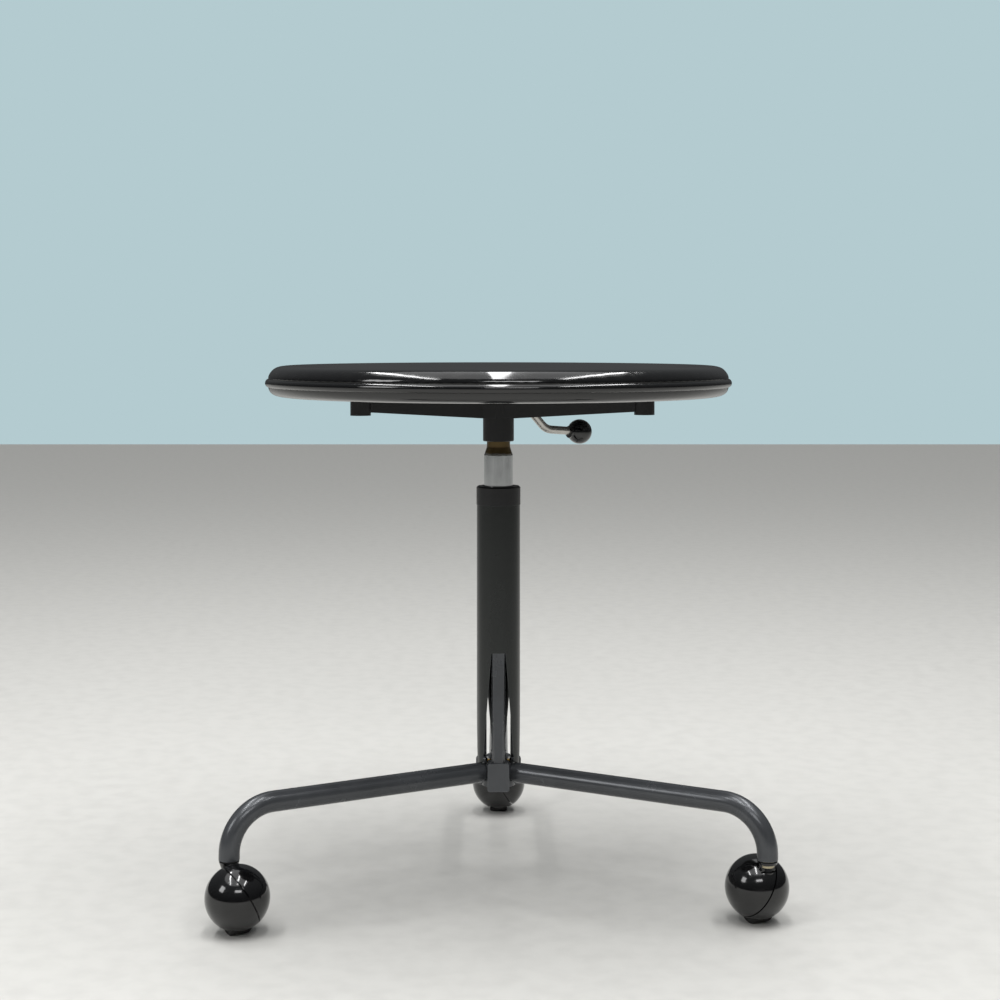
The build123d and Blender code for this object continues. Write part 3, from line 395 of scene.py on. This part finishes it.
def socket_screws(name, bottom, top, head, material):
    """Three socket-head screws by Geometry Nodes on a point mesh, turned into one plain mesh."""
    points = bpy.data.meshes.new(name + "_points")
    points.from_pydata([(c.x, c.y, bottom) for c in screw_points()], [], [])
    carrier = bpy.data.objects.new(name + "_points", points)
    bpy.context.scene.collection.objects.link(carrier)
    tree = bpy.data.node_groups.new("Socket_screw_set", "GeometryNodeTree")
    sockets = tree.interface
    sockets.new_socket("Geometry", in_out="INPUT", socket_type="NodeSocketGeometry")
    radius = sockets.new_socket("Head radius", in_out="INPUT", socket_type="NodeSocketFloat")
    height = sockets.new_socket("Head height", in_out="INPUT", socket_type="NodeSocketFloat")
    length = sockets.new_socket("Shank length", in_out="INPUT", socket_type="NodeSocketFloat")
    shank = sockets.new_socket("Shank radius", in_out="INPUT", socket_type="NodeSocketFloat")
    sockets.new_socket("Geometry", in_out="OUTPUT", socket_type="NodeSocketGeometry")
    inlet = node(tree, "NodeGroupInput")
    outlet = node(tree, "NodeGroupOutput")
    cap = node(tree, "GeometryNodeMeshCylinder", inputs={
        "Vertices": 36, "Radius": inlet.outputs["Head radius"], "Depth": inlet.outputs["Head height"]})
    hexagon = node(tree, "GeometryNodeMeshCylinder", inputs={
        "Vertices": 6, "Radius": SOCKET_RADIUS, "Depth": 2 * SOCKET_DEPTH})
    bore = node(tree, "GeometryNodeMeshBoolean", {"operation": "DIFFERENCE", "solver": "EXACT"},
                {"Mesh 1": cap.outputs["Mesh"]})
    shift = node(tree, "GeometryNodeTransform", inputs={
        "Geometry": hexagon.outputs["Mesh"], "Translation": (0, 0, -HEAD_HEIGHT / 2)})
    tree.links.new(shift.outputs["Geometry"], bore.inputs["Mesh 2"])
    rod = node(tree, "GeometryNodeMeshCylinder", inputs={
        "Vertices": 24, "Radius": inlet.outputs["Shank radius"], "Depth": inlet.outputs["Shank length"]})
    half = node(tree, "ShaderNodeMath", {"operation": "MULTIPLY"}, {0: inlet.outputs["Shank length"], 1: 0.5})
    lift = node(tree, "ShaderNodeCombineXYZ", inputs={"Z": half.outputs["Value"]})
    raised = node(tree, "GeometryNodeTransform", inputs={
        "Geometry": rod.outputs["Mesh"], "Translation": lift.outputs["Vector"]})
    joined = node(tree, "GeometryNodeJoinGeometry")
    tree.links.new(bore.outputs["Mesh"], joined.inputs["Geometry"])
    tree.links.new(raised.outputs["Geometry"], joined.inputs["Geometry"])
    seated = node(tree, "GeometryNodeTransform", inputs={
        "Geometry": joined.outputs["Geometry"], "Translation": (0, 0, HEAD_HEIGHT / 2)})
    copies = node(tree, "GeometryNodeInstanceOnPoints", inputs={
        "Points": inlet.outputs["Geometry"], "Instance": seated.outputs["Geometry"]})
    real = node(tree, "GeometryNodeRealizeInstances", inputs={"Geometry": copies.outputs["Instances"]})
    dressed = node(tree, "GeometryNodeSetMaterial", inputs={"Geometry": real.outputs["Geometry"]})
    dressed.inputs["Material"].default_value = material
    tree.links.new(dressed.outputs["Geometry"], outlet.inputs["Geometry"])
    modifier = carrier.modifiers.new("Socket screws", "NODES")
    modifier.node_group = tree
    modifier[radius.identifier] = head / 2
    modifier[height.identifier] = HEAD_HEIGHT
    modifier[length.identifier] = top - bottom - HEAD_HEIGHT / 2 - SHANK_GAP
    modifier[shank.identifier] = SHANK_RADIUS
    evaluated = carrier.evaluated_get(bpy.context.evaluated_depsgraph_get())
    mesh = bpy.data.meshes.new_from_object(evaluated)
    if not mesh.polygons:
        raise RuntimeError("the screw set came out empty")
    bpy.data.objects.remove(carrier)
    made = bpy.data.objects.new(name, mesh)
    bpy.context.scene.collection.objects.link(made)
    return made


# ---------------------------------------------------------------- operators

class STOOL_OT_seat(bpy.types.Operator):
    """Finish the dished seat, its edge bead and the board inside"""
    bl_idname = "stool.seat"
    bl_label = "Seat"

    def execute(self, context):
        colours, sizes = context.scene.stool_colours, context.scene.stool_sizes
        shell = wiped_gloss("Gloss_moulded_ABS_seat", colours.seat,
                            rough=0.08, spacing=sizes.scratch, haze=0.002)
        finish(shell, "seat_top_shell", "seat_edge_bead", "seat_bottom_shell")
        finish(birch_ply("Birch_plywood_board"), "seat_board")
        return {"FINISHED"}


class STOOL_OT_spider(bpy.types.Operator):
    """Finish the cast spider, the lever and the knob"""
    bl_idname = "stool.spider"
    bl_label = "Spider and lever"

    def execute(self, context):
        colours, sizes = context.scene.stool_colours, context.scene.stool_sizes
        casting = enamel("Satin_black_enamel_on_casting", colours.casting, rough=0.36,
                         ripple=sizes.grit, wear_colour="#3A3B3C", metallic=0.0)
        finish(casting, "spider_frame")
        nickel = bright_metal("Nickel_plated_lever_rod", "#B5B3AE",
                              rough=0.2, grain=0.0006, stretch=(1, 1, 8))
        finish(nickel, "lever_rod")
        knob = wiped_gloss("Phenolic_ball_knob", "#0B0B0D", rough=0.12, spacing=sizes.scratch, haze=0.006)
        finish(knob, "lever_knob")
        return {"FINISHED"}


class STOOL_OT_screws(bpy.types.Operator):
    """Make the three socket-head screws under the spider's bosses and finish the small steel parts"""
    bl_idname = "stool.screws"
    bl_label = "Screws and small steel"

    def execute(self, context):
        sizes = context.scene.stool_sizes
        oxide = bright_metal("Black_oxide_steel", "#2B2C2E", rough=0.35, grain=0.0005, stretch=(1, 1, 1))
        zinc = bright_metal("Bright_zinc_plate", "#A8AAAC", rough=0.28, grain=0.0006, stretch=(1, 1, 1))
        low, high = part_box("spider_screws")
        made = socket_screws("Spider_socket_screws", low.z, high.z, sizes.head, oxide)
        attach(made, "seat")
        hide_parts("spider_screws")
        finish(oxide, "spider_screws", "rod_clip", *[f"caster_grip_ring_{s}" for s in SIDES],
               *[f"caster_stem_{s}" for s in SIDES])
        finish(zinc, "lever_pivot_pin", "valve_pin", "piston_nut", "seat_inserts", "bearing_lower_washer",
               "bearing_upper_washer", *[f"caster_axle_{s}" for s in SIDES])
        return {"FINISHED"}


class STOOL_OT_lift(bpy.types.Operator):
    """Finish the chromed gas lift and the rod inside it"""
    bl_idname = "stool.lift"
    bl_label = "Gas lift"

    def execute(self, context):
        finish(greased_chrome("Hard_chrome_cylinder", "#D3D5D6", GREASE_LINE), "gas_cylinder")
        ground = bright_metal("Ground_steel_rod", "#BBBDBF", rough=0.18, grain=0.0004, stretch=(1, 1, 6))
        finish(ground, "piston_rod")
        acetal = soft_polymer("Natural_acetal_guides", "#D8D6CE", rough=0.42, grain=0.0008)
        finish(acetal, "cylinder_gland", "piston", "guide_sleeve")
        brass = bright_metal("Brass_bearing_cage", "#B08F4A", rough=0.3, grain=0.0006, stretch=(1, 1, 1))
        finish(brass, "bearing_cage")
        return {"FINISHED"}


class STOOL_OT_column(bpy.types.Operator):
    """Finish the column, its collar, the hub and the legs"""
    bl_idname = "stool.column"
    bl_label = "Column and legs"

    def execute(self, context):
        colours, sizes = context.scene.stool_colours, context.scene.stool_sizes
        dark = enamel("Dark_enamel_column", colours.column, rough=0.22,
                      ripple=sizes.ripple, wear_colour="#55595A", metallic=0.2)
        finish(dark, "column_tube")
        graphite = enamel("Graphite_enamel_legs", colours.paint, rough=0.24,
                          ripple=sizes.ripple, wear_colour="#84878A", metallic=0.35)
        finish(graphite, "base_hub", "column_tongues", *[f"leg_{s}" for s in SIDES])
        satin = soft_polymer("Satin_acetal_collar", "#131315", rough=0.38, grain=0.0007, shade=0.9)
        finish(satin, "column_collar")
        return {"FINISHED"}


class STOOL_OT_casters(bpy.types.Operator):
    """Finish the ball casters, their rollers and the pale stem bushes"""
    bl_idname = "stool.casters"
    bl_label = "Ball casters"

    def execute(self, context):
        colours, sizes = context.scene.stool_colours, context.scene.stool_sizes
        ball = wiped_gloss("Gloss_nylon_ball_halves", "#070708", rough=0.09,
                           spacing=sizes.scratch * BALL_SCRATCHES, haze=0.008)
        tyre = soft_polymer("Rubber_roller_tyre", "#121212", rough=0.6, grain=0.0006, ior=1.52)
        core = soft_polymer("Nylon_roller_core", "#2A2A2A", rough=0.45, grain=0.0008)
        bush = soft_polymer("Natural_nylon_stem_bush", colours.bush, rough=0.4, grain=0.0008, shade=0.7)
        for side in SIDES:
            finish(ball, f"caster_hood_{side}", f"caster_cover_{side}")
            finish(tyre, f"caster_tyre_{side}")
            finish(core, f"caster_roller_{side}")
            finish(bush, f"stem_bush_{side}")
        return {"FINISHED"}


class STOOL_OT_stage(bpy.types.Operator):
    """Make the pale floor, the backdrop colour, the soft lights and the camera"""
    bl_idname = "stool.stage"
    bl_label = "Stage"

    def execute(self, context):
        colours, sizes = context.scene.stool_colours, context.scene.stool_sizes
        half = sizes.stage / 2
        corners = [(-half, -half, 0), (half, -half, 0), (half, half, 0), (-half, half, 0)]
        mesh = bpy.data.meshes.new("Studio_floor")
        mesh.from_pydata(corners, [], [(0, 1, 2, 3)])
        floor = bpy.data.objects.new("Studio_floor", mesh)
        context.scene.collection.objects.link(floor)
        pale = soft_polymer("Pale_studio_floor", colours.floor, rough=0.55, grain=0.004, shade=0.94)
        mesh.materials.append(pale)
        studio_air(context)
        for index, offset in enumerate((-STRIP_SPACING, 0.0, STRIP_SPACING)):
            soft_light(context, f"Overhead_strip_{index}", position=(offset, -0.2, 2.5),
                       target=(offset, 0, 0), width=0.16, depth=2.6, power=26.0)
        even_light(context, power=1.3, width_degrees=70)
        soft_light(context, "Left_softbox", position=(-2.4, -1.4, 1.7), target=(0, 0, 0.3),
                   width=0.9, depth=0.9, power=16.0)
        soft_light(context, "Front_floor_fill", position=(0.3, -2.6, 1.9), target=(0, 0, 0.2),
                   width=1.2, depth=0.4, power=12.0)
        studio_camera(context)
        context.scene.view_settings.view_transform = "Standard"
        return {"FINISHED"}


# ---------------------------------------------------------------- panel and start

class STOOL_PT_panel(bpy.types.Panel):
    """Lists the stool's pieces and values"""
    bl_idname = "STOOL_PT_panel"
    bl_label = "Swivel stool"
    bl_space_type = "VIEW_3D"
    bl_region_type = "UI"
    bl_category = "Stool"

    def draw(self, context):
        for group in (context.scene.stool_sizes, context.scene.stool_colours):
            for name in group.bl_rna.properties.keys():
                if name not in {"rna_type", "name"}:
                    self.layout.prop(group, name)
        for operator in OPERATORS:
            self.layout.operator(operator.bl_idname)


OPERATORS = (STOOL_OT_seat, STOOL_OT_spider, STOOL_OT_screws, STOOL_OT_lift, STOOL_OT_column,
             STOOL_OT_casters, STOOL_OT_stage)
CLASSES = (StoolColours, StoolSizes) + OPERATORS + (STOOL_PT_panel,)


def register():
    for cls in CLASSES:
        bpy.utils.register_class(cls)
    bpy.types.Scene.stool_colours = bpy.props.PointerProperty(type=StoolColours)
    bpy.types.Scene.stool_sizes = bpy.props.PointerProperty(type=StoolSizes)


def unregister():
    del bpy.types.Scene.stool_sizes
    del bpy.types.Scene.stool_colours
    for cls in reversed(CLASSES):
        bpy.utils.unregister_class(cls)


def main():
    register()
    bpy.ops.stool.seat()
    bpy.ops.stool.spider()
    bpy.ops.stool.screws()
    bpy.ops.stool.lift()
    bpy.ops.stool.column()
    bpy.ops.stool.casters()
    bpy.ops.stool.stage()


if __name__ == "__main__":
    main()
